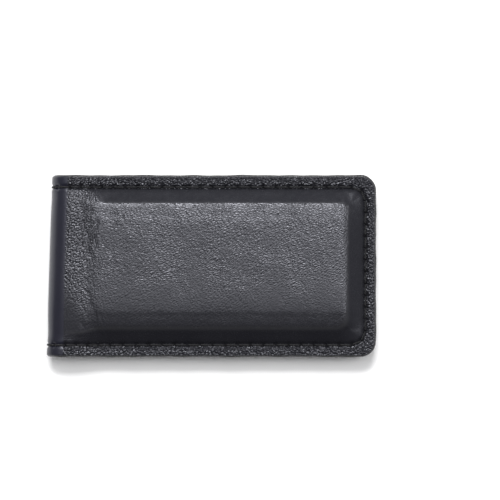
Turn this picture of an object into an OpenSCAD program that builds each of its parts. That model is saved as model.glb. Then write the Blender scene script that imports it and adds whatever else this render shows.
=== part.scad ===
// Folding magnetic money clip in stitched leather.
// +X runs from the fold to the free ends, +Y across the width, +Z up.
// The clip lies on its rear panel; the origin is the bottom centre of its box.

/* [Strap] */
// Length from the fold's crest to the free ends
clip_length = 71; // [66:0.5:80]
// Width across the leaves
clip_width = 39.3; // [36:0.1:46]
// Corner radius of the free ends
corner_r = 3.2; // [2:0.1:4]
// Thickness of the outer leather
outer_t = 0.95; // [0.8:0.05:1.2]
// Thickness of the lining leather
lining_t = 0.8; // [0.6:0.05:1]

/* [Fold] */
// Radius of the glued layer between the two leathers at the fold
fold_r = 3.2; // [2.8:0.1:3.3]
// Length over which a leaf swells from its flat part to the fold
ramp_length = 9.4; // [8:0.1:11]
// Room between the linings, for a few folded notes
note_gap = 0.8; // [0.6:0.1:1.2]

/* [Raised panel] */
// Distance of the plateau from the sides and the free end
plateau_inset = 6.35; // [6:0.05:7]
// Distance of the plateau from the fold's crest
plateau_fold_inset = 11.6; // [11:0.1:13.8]
// Distance of the slope's foot from the edges
foot_inset = 3.15; // [3.05:0.05:3.4]

/* [Core] */
// Thickness of the core board and of the magnets
board_t = 1.5; // [1.3:0.1:1.8]
// Thickness of the foam pad
foam_t = 0.7; // [0.5:0.1:1]
// Length of a magnet
magnet_l = 20; // [14:1:20]
// Width of a magnet
magnet_w = 10; // [8:1:14]

/* [Stitching] */
// Distance of the seam from the long edges
seam_inset = 2.5; // [2.4:0.05:2.7]
// Distance of the seam from the free end
end_seam_inset = 2.2; // [2:0.05:2.7]
// Stitch length that the rows are divided by
stitch_pitch = 2.68; // [2.2:0.02:3.4]
// Width of the thread
thread_w = 0.5; // [0.4:0.05:0.6]

/* [Hidden] */

leather_black = [0.17, 0.17, 0.19];
lining_black = [0.11, 0.11, 0.12];
thread_black = [0.05, 0.05, 0.06];
board_brown = [0.52, 0.43, 0.33];
foam_grey = [0.36, 0.36, 0.38];
nickel = [0.78, 0.78, 0.8];

// Heights are measured from the mid plane between the leaves.
glue_z = note_gap / 2 + lining_t;
cavity_z = glue_z + board_t + foam_t;
mid_z = cavity_z + outer_t;

x_free = clip_length / 2;
half_w = clip_width / 2;
fold_x = -x_free + fold_r + outer_t;
ramp_x = fold_x + ramp_length;

// The fold bends at four hinge lines, 45 degrees of the U apart.
hinge_step = 45;
first_hinge = 90 + hinge_step / 2;
// A leaf's share of the arc starts just past the ramp's last point.
arc_start = 90.9;
// The layers end in notches at the hinge lines, which nearly close when the clip lies flat.
notch_spare = 1.5;
notch_half = hinge_step / 2 + notch_spare;
hinge_gap = 0.03;

// The thread lies in a groove of this depth, flush with the leather.
groove_d = 0.4;
leg_r = 0.2;

seam_y = half_w - seam_inset;
seam_x = x_free - end_seam_inset;
seam_corner_r = 3;
seam_turn_x = seam_x - seam_corner_r;
seam_turn_y = seam_y - seam_corner_r;

plateau_x = [-x_free + plateau_fold_inset, x_free - plateau_inset];
plateau_y = half_w - plateau_inset;
foot_y = half_w - foot_inset;
// The leather sags a little between the plateau and the fold.
valley_sag = 0.4;
// Keeps the cavity's roof a hair above the lining at the fold.
sliver = 0.01;

core_margin = 0.3;
magnet_play = 0.1;
magnet_tip_x = 15;
magnet_mid_x = -9;

// Cutting shapes reach this much past a face, and out to far where nothing stops them.
past = 0.1;
far = 60;
ramp_steps = 14;
arc_steps = 8;

// Height of the glued layer along the ramp, and its slope in degrees.
function ramp_t(x) = (ramp_x - x) / ramp_length;
function ramp_rise() = fold_r - glue_z;
function ramp_z(x) = glue_z + ramp_rise() * ramp_t(x) * ramp_t(x) * (3 - 2 * ramp_t(x));
function ramp_slope(x) = atan(-ramp_rise() * 6 * ramp_t(x) * (1 - ramp_t(x)) / ramp_length);

// A point n outside the glued layer, on the ramp at x or on the fold at an angle.
function on_ramp(x, n) = [x - n * sin(ramp_slope(x)), ramp_z(x) + n * cos(ramp_slope(x))];
function on_fold(a, n) = [fold_x + (fold_r + n) * cos(a), (fold_r + n) * sin(a)];

// How far a layer end stands back from its hinge line, in degrees round the fold.
function set_back(n) = atan((hinge_gap + max(n, 0) * tan(notch_half)) / (fold_r + n));

function ramp_line(n) = [for (i = [0 : ramp_steps]) on_ramp(ramp_x - ramp_length * i / ramp_steps, n)];
function arc_line(a0, a1, n) = [for (i = [0 : arc_steps]) on_fold(a0 + (a1 - a0) * i / arc_steps, n)];
function leaf_line(n) = concat(
    [[x_free, glue_z + n]],
    ramp_line(n),
    arc_line(arc_start, first_hinge - set_back(n), n)
);
function reversed(list) = [for (i = [len(list) - 1 : -1 : 0]) list[i]];

// Side profiles of a layer from n0 to n1 outside the glued layer.
module leaf_profile(n0, n1) {
    polygon(concat(leaf_line(n0), reversed(leaf_line(n1))));
}

module fold_profile(index, n0, n1) {
    start = first_hinge + index * hinge_step;
    end = start + hinge_step;
    polygon(concat(
        arc_line(start + set_back(n0), end - set_back(n0), n0),
        reversed(arc_line(start + set_back(n1), end - set_back(n1), n1))
    ));
}

// Extrudes a side profile across the width, from y0 to y1.
module across(y0, y1) {
    translate([0, y1, 0]) rotate([90, 0, 0]) linear_extrude(y1 - y0) children();
}

// Plan outline of a leaf, drawn in by one inset from its long edges and another from its free end.
module leaf_plan(inset, end_inset, r) {
    x1 = x_free - end_inset;
    y1 = half_w - inset;
    union() {
        translate([-far, -y1]) square([far + x1 - r, 2 * y1]);
        translate([-far, -y1 + r]) square([far + x1, 2 * (y1 - r)]);
        for (side = [-1, 1]) translate([x1 - r, side * (y1 - r)]) circle(r, $fn = 64);
    }
}

module layer(n0, n1) {
    intersection() {
        across(-half_w, half_w) leaf_profile(n0, n1);
        translate([0, 0, -far]) linear_extrude(2 * far) leaf_plan(0, 0, corner_r);
    }
}

// The raised panel: a plateau with straight slopes that runs on over the ramp.
// drop lowers it to make the cavity, which reaches a little below the glued layer.
module raised_panel(drop, below) {
    top = mid_z - drop;
    foot_z = glue_z - below;
    run = (foot_y - plateau_y) * (top - foot_z) / (cavity_z - glue_z);
    intersection() {
        across(-half_w, half_w) polygon(concat(
            [
                [plateau_x[1] + run, foot_z],
                [plateau_x[1], top],
                [plateau_x[0], top],
                [(plateau_x[0] + fold_x) / 2, top - valley_sag],
                [fold_x, fold_r + outer_t - drop + sliver]
            ],
            reversed(ramp_line(-below))
        ));
        translate([-far, 0, 0]) rotate([90, 0, 90]) linear_extrude(2 * far) polygon([
            [-plateau_y - run, foot_z],
            [-plateau_y, top],
            [plateau_y, top],
            [plateau_y + run, foot_z]
        ]);
    }
}

// The board and the foam share this plan, set in from the plateau and from the ramp.
module core_box(z0, height) {
    x0 = ramp_x + core_margin;
    y1 = plateau_y - core_margin;
    translate([x0, -y1, z0]) cube([plateau_x[1] - core_margin - x0, 2 * y1, height]);
}

module magnet_box(x, play, z0, height) {
    translate([x - magnet_l / 2 - play, -magnet_w / 2 - play, z0])
        cube([magnet_l + 2 * play, magnet_w + 2 * play, height]);
}

// The seam on a leaf, as a band from n0 to n1 that follows the edges.
module leaf_seam(n0, n1) {
    half = thread_w / 2;
    translate([0, 0, glue_z + n0]) linear_extrude(n1 - n0) difference() {
        leaf_plan(seam_inset - half, end_seam_inset - half, seam_corner_r + half);
        leaf_plan(seam_inset + half, end_seam_inset + half, seam_corner_r - half);
        translate([-2 * far + ramp_x, -far]) square([2 * far, 2 * far]);
    }
    for (side = [-1, 1]) intersection() {
        across(side * seam_y - half, side * seam_y + half) leaf_profile(n0, n1);
        translate([-far, -far, -far]) cube([far + ramp_x, 2 * far, 2 * far]);
    }
}

// One leg of a stitch, through the layer from n0 to n1 above a point of the glued layer.
module leg(x, y, z, tilt, n0, n1) {
    translate([x, y, z]) rotate([0, tilt, 0]) translate([0, 0, n0])
        cylinder(n1 - n0, leg_r, leg_r, $fn = 24);
}

// Legs evenly spaced along a leaf's two sides, its free end and its corners.
module leaf_legs(n0, n1) {
    row = seam_turn_x - ramp_x;
    row_count = round(row / stitch_pitch);
    end_count = round(2 * seam_turn_y / stitch_pitch);
    ramp_count = round(ramp_length / stitch_pitch);
    corner_mid = seam_corner_r * cos(45);
    for (side = [-1, 1]) {
        for (i = [0 : row_count]) leg(ramp_x + row * i / row_count, side * seam_y, glue_z, 0, n0, n1);
        for (i = [1 : ramp_count]) {
            x = ramp_x - ramp_length * i / ramp_count;
            leg(x, side * seam_y, ramp_z(x), ramp_slope(x), n0, n1);
        }
        leg(seam_turn_x + corner_mid, side * (seam_turn_y + corner_mid), glue_z, 0, n0, n1);
    }
    for (i = [0 : end_count])
        leg(seam_x, -seam_turn_y + 2 * seam_turn_y * i / end_count, glue_z, 0, n0, n1);
}

// Legs at the middle of a fold segment.
module fold_legs(index, n0, n1) {
    a = first_hinge + (index + 0.5) * hinge_step;
    for (side = [-1, 1]) translate([fold_x, side * seam_y, 0]) rotate([0, 90 - a, 0])
        translate([0, 0, fold_r + n0]) cylinder(n1 - n0, leg_r, leg_r, $fn = 24);
}

// The parts of a leaf, drawn for the front one.
module outer_leather() {
    color(leather_black) difference() {
        union() {
            layer(0, outer_t);
            raised_panel(0, 0);
        }
        raised_panel(outer_t, past);
        leaf_seam(outer_t - groove_d, outer_t + past);
        leaf_legs(-past, outer_t);
    }
}

module lining() {
    color(lining_black) difference() {
        layer(-lining_t, 0);
        leaf_seam(-lining_t - past, -lining_t + groove_d);
        leaf_legs(-lining_t, past);
    }
}

module core_board() {
    color(board_brown) difference() {
        core_box(glue_z, board_t);
        for (x = [magnet_tip_x, magnet_mid_x])
            magnet_box(x, magnet_play, glue_z - past, board_t + 2 * past);
    }
}

module foam_pad() {
    color(foam_grey) core_box(glue_z + board_t, foam_t);
}

module magnet(x) {
    color(nickel) magnet_box(x, 0, glue_z, board_t);
}

module needle_thread() {
    color(thread_black) union() {
        leaf_seam(outer_t - groove_d, outer_t);
        leaf_legs(0, outer_t - groove_d / 2);
    }
}

module bobbin_thread() {
    color(thread_black) union() {
        leaf_seam(-lining_t, -lining_t + groove_d);
        leaf_legs(-lining_t + groove_d / 2, 0);
    }
}

// The parts of a fold segment, numbered from the front leaf to the rear one.
module fold_seam(index, n0, n1) {
    half = thread_w / 2;
    for (side = [-1, 1]) across(side * seam_y - half, side * seam_y + half) fold_profile(index, n0, n1);
}

module fold_outer_leather(index) {
    color(leather_black) difference() {
        across(-half_w, half_w) fold_profile(index, 0, outer_t);
        fold_seam(index, outer_t - groove_d, outer_t + past);
        fold_legs(index, -past, outer_t);
    }
}

module fold_lining(index) {
    color(lining_black) difference() {
        across(-half_w, half_w) fold_profile(index, -lining_t, 0);
        fold_seam(index, -lining_t - past, -lining_t + groove_d);
        fold_legs(index, -lining_t, past);
    }
}

module fold_thread(index) {
    color(thread_black) union() {
        fold_seam(index, outer_t - groove_d, outer_t);
        fold_legs(index, -lining_t + groove_d / 2, outer_t - groove_d / 2);
        fold_seam(index, -lining_t, -lining_t + groove_d);
    }
}

// A leaf above the mid plane, and its mirror image below it.
module front() {
    translate([0, 0, mid_z]) children();
}

module rear() {
    translate([0, 0, mid_z]) mirror([0, 0, 1]) children();
}

front() outer_leather();  // front_outer_leather
front() lining();  // front_lining
front() core_board();  // front_core_board
front() foam_pad();  // front_foam_pad
front() magnet(magnet_tip_x);  // front_magnet_tip
front() magnet(magnet_mid_x);  // front_magnet_mid
front() needle_thread();  // front_needle_thread
front() bobbin_thread();  // front_bobbin_thread
front() fold_outer_leather(0);  // fold_outer_leather_c
front() fold_lining(0);  // fold_lining_c
front() fold_thread(0);  // fold_thread_c
front() fold_outer_leather(1);  // fold_outer_leather_b
front() fold_lining(1);  // fold_lining_b
front() fold_thread(1);  // fold_thread_b
front() fold_outer_leather(2);  // fold_outer_leather_a
front() fold_lining(2);  // fold_lining_a
front() fold_thread(2);  // fold_thread_a
rear() outer_leather();  // rear_outer_leather
rear() lining();  // rear_lining
rear() core_board();  // rear_core_board
rear() foam_pad();  // rear_foam_pad
rear() magnet(magnet_tip_x);  // rear_magnet_tip
rear() magnet(magnet_mid_x);  // rear_magnet_mid
rear() needle_thread();  // rear_needle_thread
rear() bobbin_thread();  // rear_bobbin_thread
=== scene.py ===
import math

import bmesh
import bpy
import numpy as np
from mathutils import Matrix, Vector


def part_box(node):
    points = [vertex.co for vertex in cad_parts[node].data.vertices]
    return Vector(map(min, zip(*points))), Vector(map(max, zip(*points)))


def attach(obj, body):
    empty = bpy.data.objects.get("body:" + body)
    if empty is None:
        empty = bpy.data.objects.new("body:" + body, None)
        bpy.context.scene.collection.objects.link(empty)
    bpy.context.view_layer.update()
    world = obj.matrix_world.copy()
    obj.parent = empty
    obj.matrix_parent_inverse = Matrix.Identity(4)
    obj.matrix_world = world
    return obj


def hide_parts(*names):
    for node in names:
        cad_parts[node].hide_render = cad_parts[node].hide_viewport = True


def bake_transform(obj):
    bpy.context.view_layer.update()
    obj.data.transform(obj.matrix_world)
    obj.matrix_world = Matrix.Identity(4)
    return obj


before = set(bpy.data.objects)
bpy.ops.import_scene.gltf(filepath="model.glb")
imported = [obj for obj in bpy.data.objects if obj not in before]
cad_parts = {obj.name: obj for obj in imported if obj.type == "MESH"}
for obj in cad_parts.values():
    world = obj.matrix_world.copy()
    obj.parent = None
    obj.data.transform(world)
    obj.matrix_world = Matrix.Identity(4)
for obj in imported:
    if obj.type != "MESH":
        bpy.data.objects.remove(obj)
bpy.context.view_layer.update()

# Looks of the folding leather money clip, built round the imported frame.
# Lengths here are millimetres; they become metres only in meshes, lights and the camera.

MM = 0.001

# ---- sizes taken from the frame


def node_box(name):
    """A CAD node's lowest and highest corners in millimetres."""
    low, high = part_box(name)
    return np.array(low) / MM, np.array(high) / MM


skin_high = node_box("front_outer_leather")[1]
lining_low, lining_high = node_box("front_lining")
board_low, board_high = node_box("front_core_board")
pad_low, pad_high = node_box("front_foam_pad")
magnet_boxes = [node_box("front_magnet_tip"), node_box("front_magnet_mid")]
crest_x = node_box("fold_outer_leather_b")[0][0]
crest_lining_x = node_box("fold_lining_b")[0][0]

X_FREE = skin_high[0]
HALF_W = skin_high[1]
MID_Z = skin_high[2] / 2
PLATEAU_Z = skin_high[2] - MID_Z
GAP = lining_low[2] - MID_Z
GLUE = board_low[2] - MID_Z
BOARD_TOP = board_high[2] - MID_Z
FOLD_R = lining_high[2] - MID_Z
OUTER_T = crest_lining_x - crest_x
LINING_T = GLUE - GAP
CREST_R = FOLD_R + OUTER_T
FOLD_X = crest_x + CREST_R
CORE_MARGIN = 0.3
RAMP_X = board_low[0] - CORE_MARGIN
RAMP_LENGTH = RAMP_X - FOLD_X
PLATEAU_X = pad_high[0] + CORE_MARGIN
PLATEAU_Y = pad_high[1] + CORE_MARGIN

# ---- the leather's shape

# The cut edges stand a little inside the CAD's outline, and the edge paint bulges over them.
EDGE_INSET = 0.14
EDGE_BULGE = 0.3
EDGE_ROLL = 0.32
CORNER_R = 3.2
X_END = X_FREE - EDGE_INSET
Y_END = HALF_W - EDGE_INSET

SEAM_INSET = 2.5
END_SEAM_INSET = 2.2
SEAM_CORNER_R = 3.0
SEAM_X = X_FREE - END_SEAM_INSET
SEAM_Y = HALF_W - SEAM_INSET
SEAM_TURN_X = SEAM_X - SEAM_CORNER_R
SEAM_TURN_Y = SEAM_Y - SEAM_CORNER_R
STITCH_PITCH = 2.68

# Padded plateau: crown over its middle, falls towards its sides and its free end with the powers of their
# droop, and a low step near its sides.
CROWN_RISE = 0.14
CROWN_DROP = 0.3
LOW_CROWN_DROP = 0.62
END_FALL = 0.24
END_FALL_START = 22.0
PAD_EDGE_Y = 10.4
PAD_EDGE_STEP = 0.05
PAD_EDGE_W = 1.4
SIDE_DROOP = 5
END_DROOP = 4
LEVEL_OFF = 0.15

# Slopes round the plateau: where they begin, their round share, and their distance from the seam.
SHOULDER = 0.55
SHOULDER_SHARE = 0.33
FOOT_GAP = 0.4
# The panel's free corners: a tight one on the +Y side, a rounder one on the -Y side.
PANEL_CORNER_R = 0.4
PANEL_CORNER_POWER = 2.0
LOW_PANEL_CORNER_R = 2.4
LOW_PANEL_CORNER_POWER = 2.2
# The panel ends a little short of the CAD's plateau.
PANEL_END_X = PLATEAU_X - 0.25

# Hump behind the fold, and the creased valley between it and the plateau.
HUMP_RISE = 0.27
REAR_HUMP_RISE = 0.06
HUMP_DROP = 0.25
LOW_HUMP_DROP = 0.5
HUMP_DROOP = 4
HUMP_HALF_W = 14.5
HUMP_END = -28.6
PANEL_START = -24.2
VALLEY_X = -26.9
VALLEY_DEPTH = 0.09
VALLEY_W = 1.5

# Creases: deep ones cut into the shape, and a band of fine wrinkles that leans across the valley.
CREASE_COUNT = 9
CREASE_SPACING = 0.4
CREASE_W = 0.3
LOW_CREASE_SHARE = 0.6
CORNER_CREASE_SPACING = 1.5
CORNER_CREASE_DEPTH = 0.03
CORNER_CREASE_W = 0.22
WRINKLE_Y = 9.0
WRINKLE_LEAN = 0.12
WRINKLE_BAND_W = 1.6
WRINKLE_LOW_SHARE = 0.35

# The front leaf lies lower at the fold's -Y corner: past this point, in this direction, at this slope.
SAG_X = -31.0
SAG_Y = -4.5
SAG_TOWARD = (-0.8, -0.6)
SAG_SLOPE = 0.09

# The fold is a little askew, and the cut edges wander a little.
SKEW = math.tan(math.radians(1.8))
SKEW_FADE_X = -8.0
WANDER = 0.05
FLUTTER = 0.04

# The seam's groove and the dimples at its holes, in the outer leather and in the lining.
GROOVE_DEPTH = 0.28
LINING_GROOVE_DEPTH = 0.16
GROOVE_W = 0.48
DIMPLE_DEPTH = 0.3
LINING_DIMPLE_DEPTH = 0.2
DIMPLE_W = 0.55
DIMPLE_REACH = 3 * DIMPLE_W

# Uneven faces: height, length, width and seed of each layer of noise.
LEATHER_WAVES = ((0.022, 7.3, 6.1, 3), (0.005, 1.9, 1.5, 4))
LINING_WAVES = ((0.03, 6.3, 5.7, 7), (0.008, 1.3, 1.2, 8))
PEBBLE_HEIGHT = 0.01
# How sharply the rear leaf's crown is pressed flat.
REAR_FLATNESS = 14

# The board and the magnets show through the lining: height, width and corner radius of each edge.
BOARD_PRINT = 0.05
BOARD_PRINT_W = 1.6
BOARD_PRINT_R = 0.6
MAGNET_PRINT = 0.04
MAGNET_PRINT_W = 1.2
MAGNET_PRINT_R = 0.4

# Grain: the shares that it loses on the slopes, at the sagging corner, across the panel and round the fold.
SLOPE_LOSS = 0.9
SLOPE_LOSS_FROM = 0.12
SAG_LOSS = 0.85
LOW_SIDE_LOSS = 0.55
HIGH_SIDE_GAIN = 0.16
ROLL_LOSS = 0.95
# Where the fold's smooth part and the pebbled border begin, and how fast.
ROLL_START = math.radians(4)
ROLL_REACH = math.radians(6)
BORDER_LEAD = 0.4
BORDER_W = 0.3
PEBBLES_BEHIND_FOLD = 0.52

# Wear on the shoulders of the slopes and on the rolled edges.
WEAR_SLOPE = 0.16
WEAR_SLOPE_W = 0.12
WEAR_EDGE_W = 0.5

# Stitches: two twisted plies, thinner at their ends.
THREAD_R = 0.15
THREAD_TWIST_R = 0.1
THREAD_TWIST_PITCH = 1.15
THREAD_FLATNESS = 0.75
THREAD_END_SHARE = 0.55
THREAD_TAPER = 0.1
THREAD_BEND_POWER = 5
THREAD_RINGS = 25
THREAD_SIDES = 8

# Edge paint: how far its bead stays inside the two leathers' faces, the spacing of its rings and points,
# its flat back in shares of its section, and the share and length of each wave.
PAINT_LINING_GAP = 0.16
PAINT_OUTER_GAP = 0.2
PAINT_STEP = 0.7
PAINT_TURNS = 11
PAINT_POINT_GAP = 0.2
PAINT_BACK_OUT = -0.4
PAINT_BACK_UP = 0.93
PAINT_WAVES = ((0.12, 1.9), (0.1, 0.83))

# Foam pad: spacing of its grid, pull of its sides, height of its rim, and room left round it.
PAD_STEP = 0.8
PAD_PULL = 0.25
PAD_PULL_W = 1.5
PAD_RIM = 0.12
PAD_RIM_W = 1.4
PAD_ROOM = 0.04
PAD_LIFT = 0.02

# The half of the U that belongs to a leaf is cut in two; its far end is the fold's crest.
CUT = math.radians(45)
CREST = math.radians(90)
# The blends start and end on this radius, well inside the lining.
BLEND_R = FOLD_R - LINING_T - 0.8


def smooth(t):
    """Smooth step of t from 0 to 1."""
    t = np.clip(t, 0, 1)
    return t * t * (3 - 2 * t)


def noise(u, v, seed):
    """Smooth noise from -1 to 1, with features about one unit wide."""
    size = 97
    table = np.random.default_rng(seed).uniform(-1, 1, (size, size))
    iu, iv = np.floor(u).astype(int), np.floor(v).astype(int)
    fu, fv = smooth(u - iu), smooth(v - iv)

    def pick(du, dv):
        return table[(iu + du) % size, (iv + dv) % size]

    low = pick(0, 0) * (1 - fu) + pick(1, 0) * fu
    high = pick(0, 1) * (1 - fu) + pick(1, 1) * fu
    return low * (1 - fv) + high * fv


def noise_layers(along, across, layers):
    """Sum of layers of noise, each with its own height, length, width and seed."""
    total = 0
    for height, length, width, seed in layers:
        total = total + height * noise(along / length, across / width, seed)
    return total


def strap_line(x):
    """Height of the glued layer above the mid plane, and how much its slope stretches a thickness."""
    t = np.clip((RAMP_X - x) / RAMP_LENGTH, 0, 1)
    rise = FOLD_R - GLUE
    slope = rise * 6 * t * (1 - t) / RAMP_LENGTH
    return GLUE + rise * smooth(t), np.sqrt(1 + slope * slope)


def outside(x, y, end_x, half_w, radius):
    """Distance outside an outline that is open towards the fold and rounded at its free corners."""
    u = x - (end_x - radius)
    v = np.abs(y) - (half_w - radius)
    round_part = np.hypot(np.maximum(u, 0), np.maximum(v, 0))
    return round_part + np.minimum(np.maximum(u, v), 0) - radius


def outside_box(x, y, box, radius):
    """Distance outside a box's outline in plan."""
    low, high = box
    middle = (low[0] + high[0]) / 2
    return outside(np.abs(x - middle), y, high[0] - middle, high[1], radius)


def unrolled(side, x, a):
    """Distance along the outer face, from the front leaf's end of the fold, round to the rear leaf."""
    along = np.where(a > 0, -a * CREST_R, x - FOLD_X)
    return along if side > 0 else -math.pi * CREST_R - along


def seam_holes():
    """Stitch holes on one leaf as (x, angle round the fold, y), from one cut of the fold to the other."""
    row = SEAM_TURN_X - RAMP_X
    row_count = round(row / STITCH_PITCH)
    end_count = round(2 * SEAM_TURN_Y / STITCH_PITCH)
    ramp_count = round(RAMP_LENGTH / STITCH_PITCH)
    corner = SEAM_CORNER_R * math.cos(CUT)
    side_row = [(FOLD_X, CUT, SEAM_Y)]
    side_row += [(RAMP_X - RAMP_LENGTH * i / ramp_count, 0, SEAM_Y) for i in range(ramp_count, 0, -1)]
    side_row += [(RAMP_X + row * i / row_count, 0, SEAM_Y) for i in range(row_count + 1)]
    side_row += [(SEAM_TURN_X + corner, 0, SEAM_TURN_Y + corner)]
    end_row = [(SEAM_X, 0, SEAM_TURN_Y - 2 * SEAM_TURN_Y * i / end_count) for i in range(end_count + 1)]
    return side_row + end_row + [(x, a, -y) for x, a, y in reversed(side_row)]


def seam_dip(x, a, y, depth, hole_depth):
    """How far the seam pulls a face in: a groove, deeper at every hole."""
    away = outside(x, y, SEAM_X, SEAM_Y, SEAM_CORNER_R)
    dip = depth * np.exp(-((away / GROOVE_W) ** 2))
    holes = seam_holes() + [(FOLD_X, CREST, SEAM_Y), (FOLD_X, CREST, -SEAM_Y)]
    for hole_x, hole_a, hole_y in holes:
        u = x - a * CREST_R - (hole_x - hole_a * CREST_R)
        v = y - hole_y
        near = np.maximum(np.abs(u), np.abs(v)) < DIMPLE_REACH
        dip[near] += hole_depth * np.exp(-(u[near] ** 2 + v[near] ** 2) / DIMPLE_W ** 2)
    return dip


def trench(x, y, start, end, width):
    """A crease along a line from start to end, 1 on the line and fading at its ends and sides."""
    start, end = np.array(start), np.array(end)
    line = end - start
    length = math.hypot(*line)
    fade = 0.25
    t = ((x - start[0]) * line[0] + (y - start[1]) * line[1]) / length ** 2
    away = ((x - start[0]) * line[1] - (y - start[1]) * line[0]) / length
    ends = smooth(t / fade) * smooth((1 - t) / fade)
    return ends * np.exp(-((away / width) ** 2))


def creases(side, x, y):
    """Creases that the fold leaves: upright in the valley, slanting on the plateau's corner."""
    sway = 0.5 * noise(x / 3.1, y / 2.3, 11 + side)
    pick = np.random.default_rng(21 + side)
    depth = np.zeros_like(x)
    first_x = VALLEY_X - CREASE_SPACING * (CREASE_COUNT - 1) / 2
    for i in range(CREASE_COUNT):
        start_x = first_x + CREASE_SPACING * i + pick.uniform(-0.15, 0.15)
        top = pick.uniform(6, 13.5)
        length = pick.uniform(4, 9)
        strength = pick.uniform(0.04, 0.09)
        depth += strength * trench(x + sway, y, (start_x, top), (start_x + 0.6, top - length), CREASE_W)
        low_top = 2.5 - top
        low = trench(x - sway, y, (start_x, low_top), (start_x + 0.3, low_top - length), CREASE_W)
        depth += LOW_CREASE_SHARE * strength * low
    for i in range(CREASE_COUNT):
        start_x = PANEL_START - 0.8 + CORNER_CREASE_SPACING * i
        top = pick.uniform(8.5, 12.4)
        reach = pick.uniform(1.4, 3.2)
        end = (start_x - 0.6 * reach, top - reach)
        depth += CORNER_CREASE_DEPTH * trench(x, y + sway, (start_x, top), end, CORNER_CREASE_W)
    return depth


def panel_mix(x):
    """0 on the hump, 1 on the plateau."""
    return smooth((x - HUMP_END) / (PANEL_START - HUMP_END))


def slope_part(x, y):
    """0 on the raised panel's top, 1 at the foot of its slopes."""
    half = HUMP_HALF_W + (PLATEAU_Y - HUMP_HALF_W) * panel_mix(x)
    radius = np.where(y > 0, PANEL_CORNER_R, LOW_PANEL_CORNER_R)
    power = np.where(y > 0, PANEL_CORNER_POWER, LOW_PANEL_CORNER_POWER)
    u, v = x - PANEL_END_X + radius, np.abs(y) - half + radius
    corner = (np.maximum(u, 0) ** power + np.maximum(v, 0) ** power) ** (1 / power)
    from_top = corner + np.minimum(np.maximum(u, v), 0) - radius + SHOULDER
    to_foot = -outside(x, y, SEAM_X, SEAM_Y, SEAM_CORNER_R) - FOOT_GAP
    return np.clip(from_top / np.maximum(from_top + to_foot, FOOT_GAP), 0, 1)


def fall(t):
    """Fall of a panel's side from 0 to 1: round at the shoulder, then straight down to the seam."""
    curved = t * t / (2 * SHOULDER_SHARE)
    straight = t - SHOULDER_SHARE / 2
    return np.where(t < SHOULDER_SHARE, curved, straight) / (1 - SHOULDER_SHARE / 2)


def drooping(t, power):
    """A droop that grows with a power of t up to 1, then levels off."""
    beyond = LEVEL_OFF * (1 - np.exp(-power * (t - 1) / LEVEL_OFF))
    return np.where(t < 1, t ** power, 1 + beyond)


def skin_plain(side, x, a, y):
    """Distance of the outer leather's plain face from the mid plane, or from the fold's centre."""
    line, stretch = strap_line(x)
    base = line + OUTER_T * stretch
    across = np.abs(y) / PLATEAU_Y
    drop = np.where(y > 0, CROWN_DROP, LOW_CROWN_DROP)
    ending = np.maximum((x - END_FALL_START) / (PLATEAU_X - END_FALL_START), 0)
    plateau = PLATEAU_Z + CROWN_RISE
    plateau = plateau - drop * drooping(across, SIDE_DROOP) - END_FALL * drooping(ending, END_DROOP)
    plateau = plateau - PAD_EDGE_STEP * smooth((np.abs(y) - PAD_EDGE_Y) / PAD_EDGE_W + 0.5)
    rise = REAR_HUMP_RISE + (HUMP_RISE - REAR_HUMP_RISE) * (1 - smooth(a / CREST)) * (side > 0)
    hump_drop = np.where(y > 0, HUMP_DROP, LOW_HUMP_DROP)
    hump = CREST_R + rise - hump_drop * (np.abs(y) / SEAM_Y) ** HUMP_DROOP
    top = hump + (plateau - hump) * panel_mix(x)
    top = top - VALLEY_DEPTH * np.exp(-(((x - VALLEY_X) / VALLEY_W) ** 2)) - creases(side, x, y)
    if side < 0:
        # The rear leaf lies on its panel, so its crown is pressed flat.
        flattened = np.exp(-REAR_FLATNESS * top) + math.exp(-REAR_FLATNESS * PLATEAU_Z)
        top = np.where(a > 0, hump, -np.log(flattened) / REAR_FLATNESS)
    return base + (top - base) * (1 - fall(slope_part(x, y)))


def skin_face(side, x, a, y, edge):
    """The outer leather's face with its seam, waves, pebbles and rolled edge."""
    along = unrolled(side, x, a)
    face = skin_plain(side, x, a, y) - seam_dip(x, a, y, GROOVE_DEPTH, DIMPLE_DEPTH)
    face += noise_layers(along, y, LEATHER_WAVES)
    pebble = PEBBLE_HEIGHT * noise((along + y) / 1.1, (along - y) / 0.75, 5)
    face += pebble * grain_amount(x, a, y)
    if side < 0:
        face = np.where(a > 0, face, np.minimum(face, PLATEAU_Z))
    return face - roll_drop(edge)


def roll_drop(edge):
    """How far a face has turned down at a distance in from its cut edge."""
    t = np.clip(1 - edge / EDGE_ROLL, 0, 1)
    return EDGE_ROLL * (1 - np.sqrt(np.maximum(1 - t * t, 0)))


def crease_amount(x, a, y):
    """Share of the fine wrinkles in the valley, most of them on the +Y side."""
    middle = VALLEY_X - WRINKLE_LEAN * (y - WRINKLE_Y)
    side_share = WRINKLE_LOW_SHARE + (1 - WRINKLE_LOW_SHARE) * smooth(y / 4)
    band = np.exp(-(((x - middle) / WRINKLE_BAND_W) ** 2)) * side_share
    return band * (1 - roll_amount(a)) * smooth((SEAM_Y - 1 - np.abs(y)) / 1.5)


def sag_reach(x, y):
    """Distance beyond the slanting line, towards the fold's -Y corner."""
    return SAG_TOWARD[0] * (x - SAG_X) + SAG_TOWARD[1] * (y - SAG_Y)


def roll_amount(a):
    """0 on the flat leaves, 1 round the fold."""
    return smooth((a - ROLL_START) / ROLL_REACH)


def border_amount(x, y):
    """0 inside the seam, 1 on the flat border outside it."""
    return smooth((outside(x, y, SEAM_X, SEAM_Y, SEAM_CORNER_R) + BORDER_LEAD) / BORDER_W)


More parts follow.
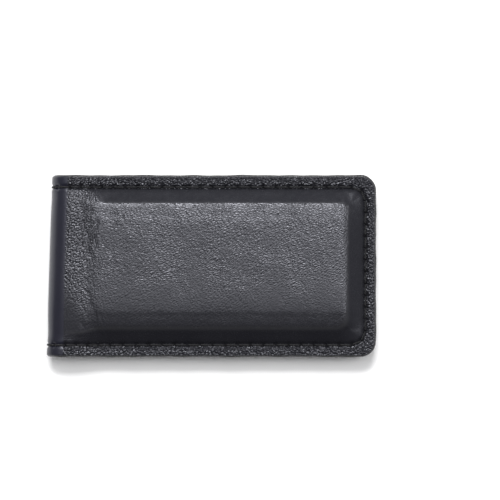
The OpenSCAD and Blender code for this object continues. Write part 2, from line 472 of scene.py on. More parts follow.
def grain_amount(x, a, y):
    """Share of the leather's fine grain that shows: stretched smooth on the slopes and round the fold."""
    inside = 1 - border_amount(x, y)
    on_slope = smooth(slope_part(x, y) / SLOPE_LOSS_FROM - 1) * inside
    flat = 1 - SLOPE_LOSS * on_slope * (0.05 + 0.95 * panel_mix(x) ** 3)
    sagging = smooth((sag_reach(x, y) + 0.5) / 3) * (1 - panel_mix(x)) * inside
    flat = flat * (1 - SAG_LOSS * sagging)
    taut = LOW_SIDE_LOSS * smooth((2 - y) / 14) - HIGH_SIDE_GAIN * smooth((y - 5) / 6)
    flat = flat * (1 - taut * panel_mix(x) * inside)
    return flat * (1 - ROLL_LOSS * roll_amount(a))


def pebble_amount(x, a, y):
    """Share of the coarser pebbles that stay on the flat borders and behind the fold."""
    behind_fold = 1 - panel_mix(x)
    return np.maximum(border_amount(x, y), PEBBLES_BEHIND_FOLD * behind_fold) * grain_amount(x, a, y)


def lining_face(side, x, a, y, edge):
    """The lining's face on the note side."""
    line, stretch = strap_line(x)
    board = outside_box(x, y, (board_low, board_high), BOARD_PRINT_R)
    magnet = np.minimum(*[outside_box(x, y, box, MAGNET_PRINT_R) for box in magnet_boxes])
    print_through = BOARD_PRINT * smooth(0.5 - board / BOARD_PRINT_W)
    print_through += MAGNET_PRINT * smooth(0.5 - magnet / MAGNET_PRINT_W)
    dip = seam_dip(x, a, y, LINING_GROOVE_DEPTH, LINING_DIMPLE_DEPTH)
    waves = noise_layers(unrolled(side, x, a), y, LINING_WAVES)
    return line - LINING_T * stretch + dip - print_through + waves + roll_drop(edge)


def wave(s):
    """A slow irregular wave along the strap, from -1 to 1."""
    return 0.6 * np.sin(s / 3.7 + 1.1) + 0.4 * np.sin(s / 1.53 + 2.9)


def corner_sag(side, x, a, y):
    """How much lower the front leaf lies at the fold's -Y corner."""
    fade = 1 - smooth(a / CREST)
    return SAG_SLOPE * np.log1p(np.exp(sag_reach(x, y))) * fade * (side > 0)


def place(side, x, a, y, off):
    """Points in the clip's frame, from places on the strap and distances from its mid plane."""
    off = off - corner_sag(side, x, a, y)
    along = unrolled(side, x, a)
    near_edge = (np.abs(y) / HALF_W) ** 6 * np.sign(y)
    skewed = SKEW * y * smooth((SKEW_FADE_X - x) / (SKEW_FADE_X - FOLD_X))
    off = off + FLUTTER * wave(along + 31) * np.abs(near_edge) * (a <= 0)
    point_x = x - off * np.sin(a) + skewed
    point_y = y + WANDER * wave(along + 9 * np.sign(y)) * near_edge
    point_z = MID_Z + side * off * np.cos(a)
    return np.stack(np.broadcast_arrays(point_x, point_y, point_z), -1)


# ---- meshes

# A grid's gaps come in multiples of this, so that a solid's hidden face can skip lines.
COARSE = 4


def even(start, end, step, multiple):
    """Evenly spaced lines from start to end, with a number of gaps that is a multiple."""
    count = max(1, round(abs(end - start) / step / multiple)) * multiple
    return np.linspace(start, end, count + 1)


def edge_lines(limit, roll, count):
    """Lines that follow the rolled edge, from just inside it out to the limit."""
    return limit - roll * (1 - np.sin(np.linspace(0, math.pi / 2, count + 1)))[1:]


def round_corner(x, y, end_x, half_w, radius):
    """Bends a square grid's free corners into round ones."""
    u, v = x - (end_x - radius), np.abs(y) - (half_w - radius)
    corner = (u > 0) & (v > 0)
    far = np.where(corner, np.maximum(u, v), 1)
    turn = np.pi / 4 * np.minimum(u, v) / far
    turn = np.where(v > u, np.pi / 2 - turn, turn)
    new_x = np.where(corner, end_x - radius + far * np.cos(turn), x)
    new_y = np.where(corner, np.sign(y) * (half_w - radius + far * np.sin(turn)), y)
    return new_x, new_y


def strap_grid(zone, step):
    """Grid of one stretch of the strap: x, angle, y and distance from the cut edge.

    It has one ghost line past each cut, so that the normals agree across the cuts.
    """
    arc_step = step / CREST_R
    if zone == "leaf":
        arc = even(CUT, 0, arc_step, COARSE)
        flat = even(FOLD_X, X_END - EDGE_ROLL, step, COARSE)[1:]
        flat = np.concatenate([flat, edge_lines(X_END, EDGE_ROLL, COARSE)])
    else:
        arc = even(CREST, CUT, arc_step, COARSE)
        flat = np.zeros(0)
    gap = arc[0] - arc[1]
    arc = np.concatenate([[arc[0] + gap], arc, [] if zone == "leaf" else [arc[-1] - gap]])
    line_x = np.concatenate([np.full(len(arc), FOLD_X), flat])
    line_a = np.concatenate([arc, np.zeros(len(flat))])
    half = np.concatenate([[Y_END - EDGE_ROLL], edge_lines(Y_END, EDGE_ROLL, COARSE)])
    middle = even(-half[0], half[0], step, COARSE)
    line_y = np.concatenate([-half[:0:-1], middle, half[1:]])
    x, y = np.meshgrid(line_x, line_y, indexing="ij")
    a = np.meshgrid(line_a, line_y, indexing="ij")[0]
    edge = np.minimum(X_END - x, Y_END - np.abs(y))
    x, y = round_corner(x, y, X_END, Y_END, CORNER_R - EDGE_INSET)
    return x, a, y, edge


def trim(zone, *grids):
    """Drops the ghost lines."""
    last = None if zone == "leaf" else -1
    return [grid[1:last] for grid in grids]


def unit(vectors):
    """The vectors made one long."""
    return vectors / np.maximum(np.linalg.norm(vectors, axis=-1, keepdims=True), 1e-12)


def grid_normals(points):
    """Normals of a grid of points."""
    return unit(np.cross(np.gradient(points, axis=0), np.gradient(points, axis=1)))


def new_object(name, vertices, faces):
    """A mesh object from points in millimetres."""
    mesh = bpy.data.meshes.new(name)
    mesh.from_pydata((np.asarray(vertices) * MM).tolist(), [], faces)
    piece = bpy.data.objects.new(name, mesh)
    bpy.context.scene.collection.objects.link(piece)
    return piece


def store(piece, name, values):
    """Keeps a number or a vector at each vertex, for the materials."""
    values = np.asarray(values, np.float32)
    kind, field = ("FLOAT", "value") if values.ndim == 1 else ("FLOAT_VECTOR", "vector")
    attribute = piece.data.attributes.new(name, kind, "POINT")
    attribute.data.foreach_set(field, values.ravel())


def both(values, keep):
    """A grid's values at a solid's shown points, then at its hidden ones."""
    return np.concatenate([values.ravel(), values[keep]])


def store_place(piece, along, across, keep):
    """Keeps each point's place on the strap, for the materials."""
    along = both(along, keep)
    store(piece, "strap", np.stack([along, both(across, keep), np.zeros(len(along))], -1))


def corner_points(piece):
    """Index of the point at every corner of every face."""
    corners = np.empty(len(piece.data.loops), np.int32)
    piece.data.loops.foreach_get("vertex_index", corners)
    return corners


def rim_cell(index, i, j, step):
    """Corners of a coarse cell, with the fine points along its sides that lie on the rim."""
    last_i, last_j = index.shape[0] - 1, index.shape[1] - 1
    i1, j1 = i + step, j + step
    loop = [index[i, k] for k in range(j, j1, step if i else 1)]
    loop += [index[k, j1] for k in range(i, i1, step if j1 < last_j else 1)]
    loop += [index[i1, k] for k in range(j1, j, -step if i1 < last_i else -1)]
    loop += [index[k, j] for k in range(i1, i, -step if j else -1)]
    return [int(point) for point in loop]


def shell(name, shown, hidden, normals, outward, step=COARSE):
    """A closed solid between a fine shown face with given normals and a coarser hidden one."""
    rows, columns = shown.shape[:2]
    count = rows * columns
    index = np.arange(count).reshape(rows, columns)
    keep = np.zeros((rows, columns), bool)
    keep[::step, ::step] = True
    keep[[0, -1], :] = True
    keep[:, [0, -1]] = True
    under = np.full((rows, columns), -1)
    under[keep] = count + np.arange(keep.sum())

    quads = np.stack([index[:-1, :-1], index[1:, :-1], index[1:, 1:], index[:-1, 1:]], -1).reshape(-1, 4)
    faces = quads.tolist()
    shown_faces = len(faces)
    for i in range(0, rows - 1, step):
        for j in range(0, columns - 1, step):
            faces.append(rim_cell(under, i, j, step))
    rim = [(0, j) for j in range(columns)] + [(i, columns - 1) for i in range(1, rows)]
    rim += [(rows - 1, j) for j in range(columns - 2, -1, -1)] + [(i, 0) for i in range(rows - 2, 0, -1)]
    for p, q in zip(rim, rim[1:] + rim[:1]):
        faces.append([int(index[p]), int(index[q]), int(under[q]), int(under[p])])
    if outward < 0:
        faces = [face[::-1] for face in faces]

    vertices = np.concatenate([shown.reshape(-1, 3), hidden[keep]])
    piece = new_object(name, vertices, faces)
    smooth_faces = np.arange(len(faces)) < shown_faces
    piece.data.polygons.foreach_set("use_smooth", smooth_faces)
    lookup = np.concatenate([normals.reshape(-1, 3) * outward, np.zeros((keep.sum(), 3))])
    corner_normals = lookup[corner_points(piece)]
    corner_normals[shown_faces * 4:] = 0
    piece.data.normals_split_custom_set(corner_normals)
    return piece, keep


def tube(path, radius, sides, side_v, deep_v):
    """Rings of points round a path, each ring in the plane of its own two vectors."""
    turn = np.linspace(0, 2 * np.pi, sides, endpoint=False)
    ring = np.cos(turn)[:, None] * side_v[:, None] + np.sin(turn)[:, None] * deep_v[:, None]
    return path[:, None] + radius[:, None, None] * ring


def tube_faces(rings, sides, first):
    """Faces of a capped tube whose points start at an index."""
    faces = []
    for i in range(rings - 1):
        for j in range(sides):
            k = (j + 1) % sides
            low, high = first + i * sides, first + (i + 1) * sides
            faces.append([low + j, low + k, high + k, high + j])
    faces.append([first + j for j in range(sides)][::-1])
    faces.append([first + (rings - 1) * sides + j for j in range(sides)])
    return faces


# ---- pieces

# The strap's stretches in the order of their hinges, and the CAD's names for the same parts.
STANDS_FOR = {
    "rear": ["rear_{}"],
    "fold_lower": ["fold_{}_a"],
    "fold_upper": ["fold_{}_b", "fold_{}_c"],
    "front": ["front_{}"],
}


def stretch_name(side, zone):
    """Name of a stretch of the strap."""
    if zone == "leaf":
        return "front" if side > 0 else "rear"
    return "fold_upper" if side > 0 else "fold_lower"


def bend(piece, side, zone):
    """Bakes a piece's transform into its mesh; the blend line over its hinge is worked out but not used."""
    near, far = (0, CUT) if zone == "leaf" else (CUT, CREST)

    def on_radius(a):
        return np.array([FOLD_X - BLEND_R * math.sin(a), 0, MID_Z + side * BLEND_R * math.cos(a)])

    start, end = on_radius(near), on_radius(far)
    if side > 0:
        start, end = end, start
    line = end - start
    # The skew moves a point by SKEW * y, so the blend's direction leans with it.
    lean = np.array([0, -SKEW * line[0], 0])
    scale = (line @ line) / ((line + lean) @ (line + lean))
    end = start + (line + lean) * scale
    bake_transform(piece)


def skin(side, zone, step):
    """Outer leather of one stretch of the strap, with the shares that its material shows."""
    x, a, y, edge = strap_grid(zone, step)
    face = place(side, x, a, y, skin_face(side, x, a, y, edge))
    line, _ = strap_line(x)
    inner = np.maximum(skin_plain(side, x, a, y) - OUTER_T, line)
    inner = np.where(a > 0, line, inner)
    back = place(side, x, a, y, inner)
    normals = grid_normals(face)
    face, back, normals, x, a, y, edge = trim(zone, face, back, normals, x, a, y, edge)
    piece, keep = shell("outer_leather_" + stretch_name(side, zone), face, back, normals, side)
    wear = np.exp(-(((slope_part(x, y) - WEAR_SLOPE) / WEAR_SLOPE_W) ** 2)) * (a <= 0)
    wear = np.clip(wear + smooth(1 - edge / WEAR_EDGE_W), 0, 1)
    store_place(piece, unrolled(side, x, a), y, keep)
    store(piece, "grain", both(grain_amount(x, a, y), keep))
    store(piece, "pebbles", both(pebble_amount(x, a, y), keep))
    store(piece, "roll", both(roll_amount(a), keep))
    store(piece, "creased", both(crease_amount(x, a, y), keep))
    store(piece, "wear", both(wear, keep))
    return piece


def lining(side, zone, step):
    """Lining of one stretch of the strap."""
    x, a, y, edge = strap_grid(zone, step)
    face = place(side, x, a, y, lining_face(side, x, a, y, edge))
    back = place(side, x, a, y, strap_line(x)[0])
    normals = grid_normals(face)
    face, back, normals, x, a, y = trim(zone, face, back, normals, x, a, y)
    piece, keep = shell("lining_" + stretch_name(side, zone), face, back, normals, -side, step=2)
    store_place(piece, unrolled(side, x, a), y, keep)
    return piece


def rim_path(zone):
    """Places along the cut edge: x, angle, y, and the x and y of the outward direction in plan."""
    arc_step = PAINT_STEP / CREST_R
    if zone == "fold":
        angles = even(CREST, CUT, arc_step, 1)
        return [[(FOLD_X, a, sign * Y_END, 0, sign) for a in angles] for sign in (1, -1)]
    radius = CORNER_R - EDGE_INSET
    path = [(FOLD_X, a, Y_END, 0, 1) for a in even(CUT, 0, arc_step, 1)]
    path += [(x, 0, Y_END, 0, 1) for x in even(FOLD_X, X_END - radius, PAINT_STEP, 1)[1:]]
    for turn in np.radians(np.linspace(90, 0, PAINT_TURNS))[1:]:
        out_x, out_y = math.cos(turn), math.sin(turn)
        path.append((X_END - radius + radius * out_x, 0, Y_END - radius + radius * out_y, out_x, out_y))
    path += [(X_END, 0, y, 1, 0) for y in even(Y_END - radius, 0, PAINT_STEP, 1)[1:]]
    mirrored = [(x, a, -y, out_x, -out_y) for x, a, y, out_x, out_y in reversed(path[:-1])]
    return [path + mirrored]


def edge_paint(side, zone):
    """Glossy paint along both leathers' cut edges: a long bead with a D-shaped section."""
    turn = np.radians(np.linspace(-90, 90, PAINT_TURNS))
    # The section, in shares of the bulge and of half the height, has its flat back inside the leathers.
    section_out = np.concatenate([np.cos(turn), [PAINT_BACK_OUT, PAINT_BACK_OUT]])
    section_up = np.concatenate([np.sin(turn), [PAINT_BACK_UP, -PAINT_BACK_UP]])
    sides = len(section_out)
    vertices, faces, spread, normals = [], [], [], []
    for path in rim_path(zone):
        x, a, y, out_x, out_y = np.array(path).T[:, :, None]
        line, stretch = strap_line(x)
        low = line - LINING_T * stretch + PAINT_LINING_GAP
        high = line + OUTER_T * stretch - PAINT_OUTER_GAP
        along = unrolled(side, x, a) + np.abs(y - Y_END)
        bulge = EDGE_BULGE * (1 + sum(share * np.sin(along / length) for share, length in PAINT_WAVES))
        out = bulge * section_out
        off = (low + high) / 2 + (high - low) / 2 * section_up

        def bead(out, off):
            return place(side, x + out * out_x, a, y + out * out_y, off)

        # A normal points from a point of the bead to one a hair farther out.
        rings = bead(out, off)
        away_out = section_out / bulge
        away_off = section_up / (high - low) * 2
        hair = 0.01 / np.hypot(away_out, away_off)
        lifted = unit(bead(out + hair * away_out, off + hair * away_off) - rings)
        faces += tube_faces(len(path), sides, len(vertices))
        vertices += rings.reshape(-1, 3).tolist()
        normals += lifted.reshape(-1, 3).tolist()
        spread += [(s, PAINT_POINT_GAP * k, 0) for s in along.ravel() for k in range(sides)]
    piece = new_object("edge_paint_" + stretch_name(side, zone), vertices, faces)
    smooth_sides(piece)
    keep_normals(piece, np.array(normals))
    store(piece, "strap", spread)
    return piece


def keep_normals(piece, normals):
    """Sets a normal at each vertex of a tube's sides; its flat ends keep their own."""
    sizes = [face.loop_total for face in piece.data.polygons]
    on_side = np.repeat(sizes, sizes) == 4
    piece.data.normals_split_custom_set(normals[corner_points(piece)] * on_side[:, None])


def smooth_sides(piece):
    """Turns a tube's faces outward, smooth on its sides and flat at its ends."""
    mesh = bmesh.new()
    mesh.from_mesh(piece.data)
    for face in mesh.faces:
        face.smooth = len(face.verts) == 4
    bmesh.ops.recalc_face_normals(mesh, faces=mesh.faces)
    mesh.to_mesh(piece.data)
    mesh.free()


def thread(side, zone, name, layer_t, sink, end_sink):
    """A row of two-ply stitches, sunk into a layer's face and deeper at their ends."""
    rows = [seam_holes()]
    if zone == "fold":
        rows = [[(FOLD_X, CREST, sign * SEAM_Y), (FOLD_X, CUT, sign * SEAM_Y)] for sign in (1, -1)]
    t = np.linspace(0, 1, THREAD_RINGS)
    vertices, faces, spread = [], [], []
    inward = -math.copysign(1, layer_t)
    for row in rows:
        for number, (hole, following) in enumerate(zip(row, row[1:])):
            x, a, y = [h + (f - h) * t for h, f in zip(hole, following)]
            line, stretch = strap_line(x)
            depth = sink + end_sink * np.abs(2 * t - 1) ** THREAD_BEND_POWER
            off = line + layer_t * stretch + inward * depth
            centre = place(side, x, a, y, off)
            deep_v = unit(place(side, x, a, y, off + THREAD_R * inward) - centre)
            side_v = unit(np.cross(np.gradient(centre, axis=0), deep_v))
            length = np.linalg.norm(centre[-1] - centre[0])
            for ply in (0, np.pi):
                turn = ply + 2 * np.pi * t * length / THREAD_TWIST_PITCH + number
                shift = np.cos(turn)[:, None] * side_v + THREAD_FLATNESS * np.sin(turn)[:, None] * deep_v
                full = smooth(np.minimum(t, 1 - t) / THREAD_TAPER)
                radius = THREAD_R * (THREAD_END_SHARE + (1 - THREAD_END_SHARE) * full)
                points = tube(centre + THREAD_TWIST_R * shift, radius, THREAD_SIDES, side_v, deep_v)
                faces += tube_faces(THREAD_RINGS, THREAD_SIDES, len(vertices))
                vertices += points.reshape(-1, 3).tolist()
                around = np.linspace(0, 1, THREAD_SIDES)
                spread += [(3 * number + length * u, v, ply) for u in t for v in around]
    piece = new_object(name + "_" + stretch_name(side, zone), vertices, faces)
    smooth_sides(piece)
    store(piece, "strap", spread)
    return piece


def foam_pad(side):
    """The crowned foam pad between the board and the outer leather."""
    start_x, end_x, half = pad_low[0], pad_high[0], pad_high[1]
    line_x = even(start_x, end_x, PAD_STEP, COARSE)
    line_y = even(-half, half, PAD_STEP, COARSE)
    x, y = np.meshgrid(line_x, line_y, indexing="ij")
    edge = np.minimum(np.minimum(x - start_x, end_x - x), half - np.abs(y))
    pull = PAD_PULL * np.exp(-edge / PAD_PULL_W)
    middle = (start_x + end_x) / 2
    y_in = y * (1 - pull / half * np.cos(np.pi * (x - middle) / (end_x - start_x)))
    room = skin_plain(side, x, np.zeros_like(x), y_in) - OUTER_T - PAD_ROOM
    rim = BOARD_TOP + PAD_RIM
    top = rim + (np.maximum(room, rim) - rim) * smooth(edge / PAD_RIM_W)
    under = np.full_like(x, BOARD_TOP + PAD_LIFT)
    face = np.stack([x, y_in, MID_Z + side * top], -1)
    back = np.stack([x, y_in, MID_Z + side * under], -1)
    piece, keep = shell(stretch_name(side, "leaf") + "_pad", face, back, grid_normals(face), side, step=2)
    store_place(piece, x, y, keep)
    return piece


# ---- materials


class Nodes:
    """Short ways to build a material's node tree."""

    def __init__(self, name, stored=True):
        self.material = bpy.data.materials.new(name)
        self.material.use_nodes = True
        self.tree = self.material.node_tree
        self.shader = self.tree.nodes["Principled BSDF"]
        if stored:
            self.place = self.stored("strap", "Vector")
        else:
            coordinate = self.add("ShaderNodeTexCoord").outputs["Object"]
            self.place = self.math("MULTIPLY", coordinate, (1 / MM, 1 / MM, 1 / MM), "ShaderNodeVectorMath")

    def add(self, kind, **settings):
        node = self.tree.nodes.new(kind)
        for key, value in settings.items():
            setattr(node, key, value)
        return node

    def feed(self, socket, value):
        if hasattr(value, "is_output"):
            self.tree.links.new(value, socket)
        else:
            socket.default_value = value

    def stored(self, name, output="Fac"):
        return self.add("ShaderNodeAttribute", attribute_name=name).outputs[output]

    def math(self, operation, first, second, kind="ShaderNodeMath"):
        node = self.add(kind, operation=operation)
        self.feed(node.inputs[0], first)
        self.feed(node.inputs[1], second)
        return node.outputs[0]

    def times(self, first, second):
        return self.math("MULTIPLY", first, second)

    def texture(self, kind, scale, vector, **settings):
        node = self.add(kind, **settings)
        self.feed(node.inputs["Vector"], vector or self.place)
        node.inputs["Scale"].default_value = scale
        return node

    def turned(self, angle, size, vector=None):
        """Places measured in units of a size along and across a direction."""
        node = self.add("ShaderNodeMapping", vector_type="TEXTURE")
        self.feed(node.inputs["Vector"], vector or self.place)
        node.inputs["Rotation"].default_value = (0, 0, math.radians(angle))
        node.inputs["Scale"].default_value = (size[0], size[1], 1)
        return node.outputs[0]

    def warped(self, scale, reach, vector=None):
        """Places pushed about by noise."""
        push = self.texture("ShaderNodeTexNoise", scale, vector)
        node = self.add("ShaderNodeVectorMath", operation="MULTIPLY_ADD")
        self.feed(node.inputs[0], push.outputs["Color"])
        node.inputs[1].default_value = (reach, reach, 0)
        self.feed(node.inputs[2], vector or self.place)
        return node.outputs[0]

    def noise(self, scale, detail=2.0, vector=None):
        node = self.texture("ShaderNodeTexNoise", scale, vector)
        node.inputs["Detail"].default_value = detail
        return node.outputs["Fac"]

    def cells(self, scale, vector=None, feature="DISTANCE_TO_EDGE"):
        node = self.texture("ShaderNodeTexVoronoi", scale, vector, feature=feature, voronoi_dimensions="2D")
        return node.outputs["Distance"]

    def spread(self, value, low, high, to_low, to_high):
        node = self.add("ShaderNodeMapRange")
        for socket, number in zip(node.inputs, (value, low, high, to_low, to_high)):
            self.feed(socket, number)
        return node.outputs[0]

    def uneven(self, scale, detail, low, high):
        """A number that wanders between two limits."""
        return self.spread(self.noise(scale, detail), 0.3, 0.7, low, high)

    def blend(self, share, first, second):
        node = self.add("ShaderNodeMix", data_type="RGBA")
        self.feed(node.inputs["Factor"], share)
        for socket, colour in ((node.inputs[6], first), (node.inputs[7], second)):
            self.feed(socket, (*colour, 1) if isinstance(colour, tuple) else colour)
        return node.outputs[2]

    def bump(self, height, depth, below=None):
        node = self.add("ShaderNodeBump")
        self.feed(node.inputs["Height"], height)
        node.inputs["Distance"].default_value = depth * MM
        if below:
            self.feed(node.inputs["Normal"], below)
        return node.outputs["Normal"]

    def finish(self, colour, roughness, normal, specular=0.5, **extra):
        self.feed(self.shader.inputs["Base Color"], colour)
        self.feed(self.shader.inputs["Roughness"], roughness)
        self.feed(self.shader.inputs["Normal"], normal)
        self.shader.inputs["Specular IOR Level"].default_value = specular
        for key, value in extra.items():
            self.shader.inputs[key.replace("_", " ")].default_value = value
        return self.material


# Directions of the grain, the pebbles and the wrinkles, in degrees.
GRAIN_ANGLE = 36
PEBBLE_ANGLE = 30
WRINKLE_ANGLE = 98
# Mean of the grain's height; counted from it, a change of the grain's share makes no slope.
GRAIN_MEAN = 0.88


def grained_leather():
    """Black leather with fine slanting grain, and coarser pebbles where it isn't stretched."""
    n = Nodes("grained_leather")
    grain, pebbles = n.stored("grain"), n.stored("pebbles")
    wear, roll, creased = n.stored("wear"), n.stored("roll"), n.stored("creased")
    flow = n.warped(0.7, 0.3, n.warped(0.1, 3.0))
    cells = n.cells(1.0, n.turned(GRAIN_ANGLE, (0.8, 0.42), flow))
    lines = n.noise(1.0, 2.0, n.turned(GRAIN_ANGLE, (1.25, 0.32), flow))
    height = n.times(n.spread(cells, 0.0, 0.4, 0.0, 1.0), 0.45)
    height = n.math("ADD", height, lines)
    height = n.math("ADD", height, n.times(n.noise(4.2, 3.0), 0.3))
    patchy = n.spread(n.noise(0.17, 2.0), 0.35, 0.65, 0.7, 1.1)
    height = n.math("SUBTRACT", height, GRAIN_MEAN)
    height = n.times(n.times(height, patchy), grain)
    coarse = n.cells(1.0, n.turned(PEBBLE_ANGLE, (0.56, 0.4), n.warped(0.8, 0.5)), "F1")
    rounds = n.times(n.math("SUBTRACT", 0.45, coarse), pebbles)
    height = n.math("ADD", height, n.times(rounds, 2.6))
    folds = n.noise(1.0, 1.0, n.turned(WRINKLE_ANGLE, (3.2, 0.36), n.warped(0.5, 0.9)))
    folds = n.times(n.math("SUBTRACT", n.spread(folds, 0.35, 0.55, 0.0, 1.0), 0.6), creased)
    height = n.math("ADD", height, n.times(folds, 1.3))
    normal = n.bump(height, 0.082, n.bump(n.noise(1.6, 2.0), 0.012))
    colour = n.blend(n.noise(0.16, 3.0), (0.009, 0.009, 0.0115), (0.013, 0.013, 0.016))
    # Painted reflection: round the fold the colour turns bluish, standing in for the faint blue that the
    # dull roll reflects.
    colour = n.blend(n.times(roll, 0.8), colour, (0.01, 0.01, 0.018))
    # Painted shade: the colour darkens in the pits between the coarse pebbles, which are also made rougher.
    pits = n.times(n.spread(coarse, 0.45, 0.75, 0.0, 0.8), pebbles)
    colour = n.blend(pits, colour, (0.003, 0.003, 0.004))
    colour = n.blend(n.times(wear, 0.3), colour, (0.045, 0.045, 0.047))
    rough = n.uneven(0.8, 3.0, 0.22, 0.28)
    rough = n.math("ADD", rough, n.times(roll, 0.1))
    rough = n.math("ADD", rough, n.times(n.spread(cells, 0.0, 0.22, 0.12, 0.0), grain))
    rough = n.math("ADD", rough, n.times(pits, 0.1))
    rough = n.math("ADD", rough, n.times(wear, -0.03))
    return n.finish(colour, rough, normal, Specular_Tint=(0.9, 0.91, 1.0, 1.0))


def lining_leather():
    """Smooth black lining leather with a fine print grain and a few scuffs."""
    n = Nodes("lining_leather")
    pores = n.spread(n.cells(2.6), 0.0, 0.22, 0.0, 1.0)
    height = n.math("ADD", n.times(pores, 0.5), n.times(n.noise(3.0, 3.0), 0.8))
    normal = n.bump(height, 0.02)
    scuffs = n.spread(n.noise(1.0, 4.0, n.turned(8, (4.0, 0.42))), 0.58, 0.75, 0.0, 0.5)
    colour = n.blend(n.noise(0.2, 3.0), (0.018, 0.018, 0.02), (0.027, 0.026, 0.028))
    colour = n.blend(scuffs, colour, (0.05, 0.049, 0.05))
    rough = n.uneven(0.7, 3.0, 0.5, 0.64)
    return n.finish(colour, rough, normal, specular=0.35)


def paint():
    """Glossy black edge paint with the slight waves of a hand-laid coat."""
    n = Nodes("edge_paint")
    normal = n.bump(n.noise(0.9, 2.0), 0.06, n.bump(n.noise(5.0, 2.0), 0.006))
    colour = n.blend(n.noise(0.5, 2.0), (0.006, 0.006, 0.007), (0.012, 0.012, 0.013))
    rough = n.uneven(1.1, 2.0, 0.22, 0.36)
    return n.finish(colour, rough, normal, specular=0.45)


def waxed_thread():
    """Black waxed polyester thread with fine filaments along its plies."""
    n = Nodes("waxed_thread")
    filaments = n.noise(1.0, 2.0, n.turned(0, (0.8, 0.06)))
    normal = n.bump(filaments, 0.03)
    colour = n.blend(filaments, (0.005, 0.005, 0.006), (0.016, 0.016, 0.018))
    rough = n.uneven(2.0, 2.0, 0.42, 0.6)
    return n.finish(colour, rough, normal, specular=0.25)


def foam():
    """Grey open-cell foam."""
    n = Nodes("foam")
    holes = n.cells(3.2)
    normal = n.bump(n.spread(holes, 0.0, 0.3, 0.0, 1.0), 0.12, n.bump(n.noise(6.0, 2.0), 0.03))
    # Painted shade: the colour is darker where the foam's face is lowest, along the edges of its cells.
    colour = n.blend(n.spread(holes, 0.0, 0.25, 0.0, 1.0), (0.05, 0.05, 0.055), (0.14, 0.14, 0.15))
    rough = n.uneven(1.5, 2.0, 0.85, 0.95)
    return n.finish(colour, rough, normal, specular=0.2)


def bonded_board():
    """Brown board pressed from leather fibres."""
    n = Nodes("bonded_board", stored=False)
    fibres = n.noise(1.0, 4.0, n.turned(20, (1.7, 0.3)))
    flecks = n.spread(n.noise(2.4, 3.0), 0.55, 0.7, 0.0, 1.0)
    normal = n.bump(fibres, 0.05, n.bump(flecks, 0.02))
    colour = n.blend(fibres, (0.2, 0.13, 0.08), (0.38, 0.28, 0.18))
    colour = n.blend(flecks, colour, (0.12, 0.08, 0.05))
    rough = n.uneven(0.9, 2.0, 0.75, 0.9)
    return n.finish(colour, rough, normal, specular=0.3)


def nickel_plate():
    """Nickel plating with faint drag marks and dull spots."""
    n = Nodes("nickel_plate", stored=False)
    drag = n.noise(1.0, 3.0, n.turned(4, (3.3, 0.11)))
    normal = n.bump(drag, 0.004, n.bump(n.noise(0.8, 2.0), 0.01))
    colour = n.blend(n.noise(0.35, 3.0), (0.6, 0.58, 0.55), (0.72, 0.71, 0.69))
    rough = n.uneven(1.2, 3.0, 0.16, 0.3)
    return n.finish(colour, rough, normal, Metallic=1.0)


def pale_paper():
    """The pale floor."""
    n = Nodes("pale_paper", stored=False)
    normal = n.bump(n.noise(0.8, 3.0), 0.004)
    colour = n.blend(n.noise(0.01, 2.0), (0.93, 0.93, 0.93), (0.96, 0.96, 0.96))
    rough = n.uneven(0.3, 2.0, 0.8, 0.9)
    return n.finish(colour, rough, normal, specular=0.2)


# ---- assembly

LEATHER_STEP = 0.2
LINING_STEP = 0.5


def dress(piece, material):
    """Gives a piece its material."""
    piece.data.materials.append(material)


def build_strap():
    """All layers of the strap, each in four stretches."""
    leather = grained_leather()
    lining_skin = lining_leather()
    black_paint = paint()
    black_thread = waxed_thread()
    for side in (1, -1):
        for zone in ("leaf", "fold"):
            stretch = stretch_name(side, zone)
            outer = skin(side, zone, LEATHER_STEP)
            dress(outer, leather)
            inner = lining(side, zone, LINING_STEP)
            dress(inner, lining_skin)
            edge = edge_paint(side, zone)
            dress(edge, black_paint)
            needle = thread(side, zone, "needle_thread", OUTER_T, sink=0.1, end_sink=0.42)
            dress(needle, black_thread)
            bobbin = thread(side, zone, "bobbin_thread", -LINING_T, sink=0.21, end_sink=0.3)
            dress(bobbin, black_thread)
            for piece in (outer, inner, edge, needle, bobbin):
                bend(piece, side, zone)
            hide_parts(*[name.format("outer_leather") for name in STANDS_FOR[stretch]])
            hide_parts(*[name.format("lining") for name in STANDS_FOR[stretch]])
            if zone == "leaf":
                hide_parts(stretch + "_needle_thread")
                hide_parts(stretch + "_bobbin_thread")
            else:
                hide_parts(*[name.format("thread") for name in STANDS_FOR[stretch]])


def build_core():
    """The pads, and the materials of the boards and the magnets."""
    grey_foam = foam()
    board = bonded_board()
    nickel = nickel_plate()
    for side, leaf in ((1, "front"), (-1, "rear")):
        pad = foam_pad(side)
        dress(pad, grey_foam)
        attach(pad, leaf + "_leaf")
        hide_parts(leaf + "_foam_pad")
        for node, material in (("core_board", board), ("magnet_tip", nickel), ("magnet_mid", nickel)):
            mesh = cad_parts[leaf + "_" + node].data
            mesh.materials.clear()
            mesh.materials.append(material)


# ---- floor, light and camera

CAMERA_HEIGHT = 700.0
VIEW_WIDTH = 108.3
VIEW_CENTRE = (8.2, 3.5)
SENSOR = 36.0
FLOOR_SIZE = 4000.0
FLOOR_DROP = 0.1

LIGHT_DISTANCE = 1300.0
# Each light's width and height, its tilts towards +X and +Y in degrees, and its brightness.
OVERHEAD = (1460.0, 600.0, 1.0, 9.5, 2.5)
KEY = (520.0, 340.0, -3.0, 32.0, 31.0)
SIDE = (340.0, 600.0, 29.0, 7.0, 5.6)
# The room brightens as a direction's Y rises from the first of these to the second.
WORLD_FADE = (-0.8, 0.1)
WORLD_DIM = 0.01
WORLD_BRIGHT = 0.3


def build_stage():
    """A plain pale floor."""
    half = FLOOR_SIZE / 2
    corners = [(u * half, v * half, -FLOOR_DROP) for u, v in ((-1, -1), (1, -1), (1, 1), (-1, 1))]
    floor = new_object("floor", corners, [[0, 1, 2, 3]])
    floor.data.materials.append(pale_paper())


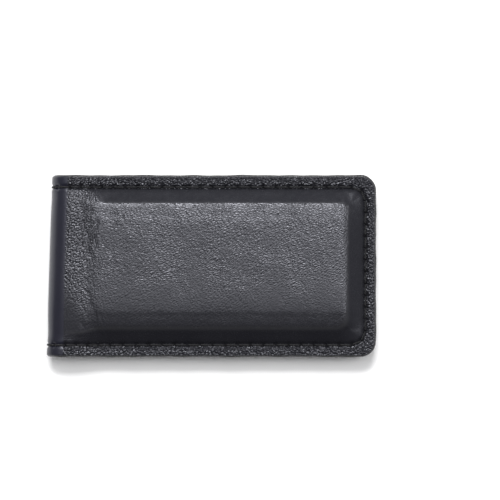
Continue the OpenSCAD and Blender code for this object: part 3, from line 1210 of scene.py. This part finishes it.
def build_light(name, width, height, tilt_x, tilt_y, radiance):
    """A soft rectangular light that faces the clip."""
    light = bpy.data.lights.new(name, "AREA")
    light.shape = "RECTANGLE"
    light.size, light.size_y = width * MM, height * MM
    light.energy = radiance * math.pi * light.size * light.size_y
    softbox = bpy.data.objects.new(name, light)
    toward = np.array([math.tan(math.radians(tilt_x)), math.tan(math.radians(tilt_y)), 1])
    toward /= np.linalg.norm(toward)
    softbox.location = toward * LIGHT_DISTANCE * MM
    softbox.rotation_euler = softbox.location.to_track_quat("Z", "Y").to_euler()
    bpy.context.scene.collection.objects.link(softbox)


def build_world():
    """A room that is dim on the -Y side and pale on the others."""
    world = bpy.data.worlds.new("room")
    world.use_nodes = True
    nodes, links = world.node_tree.nodes, world.node_tree.links
    parts = nodes.new("ShaderNodeSeparateXYZ")
    links.new(nodes.new("ShaderNodeTexCoord").outputs["Generated"], parts.inputs[0])
    ramp = nodes.new("ShaderNodeMapRange")
    ramp.interpolation_type = "SMOOTHSTEP"
    links.new(parts.outputs["Y"], ramp.inputs["Value"])
    names = ("From Min", "From Max", "To Min", "To Max")
    for name, value in zip(names, (*WORLD_FADE, WORLD_DIM, WORLD_BRIGHT)):
        ramp.inputs[name].default_value = value
    background = nodes["Background"]
    background.inputs["Color"].default_value = (0.95, 0.96, 1.0, 1)
    links.new(ramp.outputs["Result"], background.inputs["Strength"])
    return world


def build_camera():
    """A long lens straight above the clip."""
    camera = bpy.data.objects.new("camera", bpy.data.cameras.new("camera"))
    camera.data.sensor_width = SENSOR
    camera.data.lens = SENSOR * CAMERA_HEIGHT / VIEW_WIDTH
    camera.data.clip_start = 0.01
    camera.location = (VIEW_CENTRE[0] * MM, VIEW_CENTRE[1] * MM, (skin_high[2] + CAMERA_HEIGHT) * MM)
    bpy.context.scene.collection.objects.link(camera)
    bpy.context.scene.camera = camera


build_stage()
build_light("overhead", *OVERHEAD)
build_light("key", *KEY)
build_light("side", *SIDE)
bpy.context.scene.world = build_world()
build_camera()
build_strap()
build_core()
bpy.context.scene.view_settings.view_transform = "Standard"
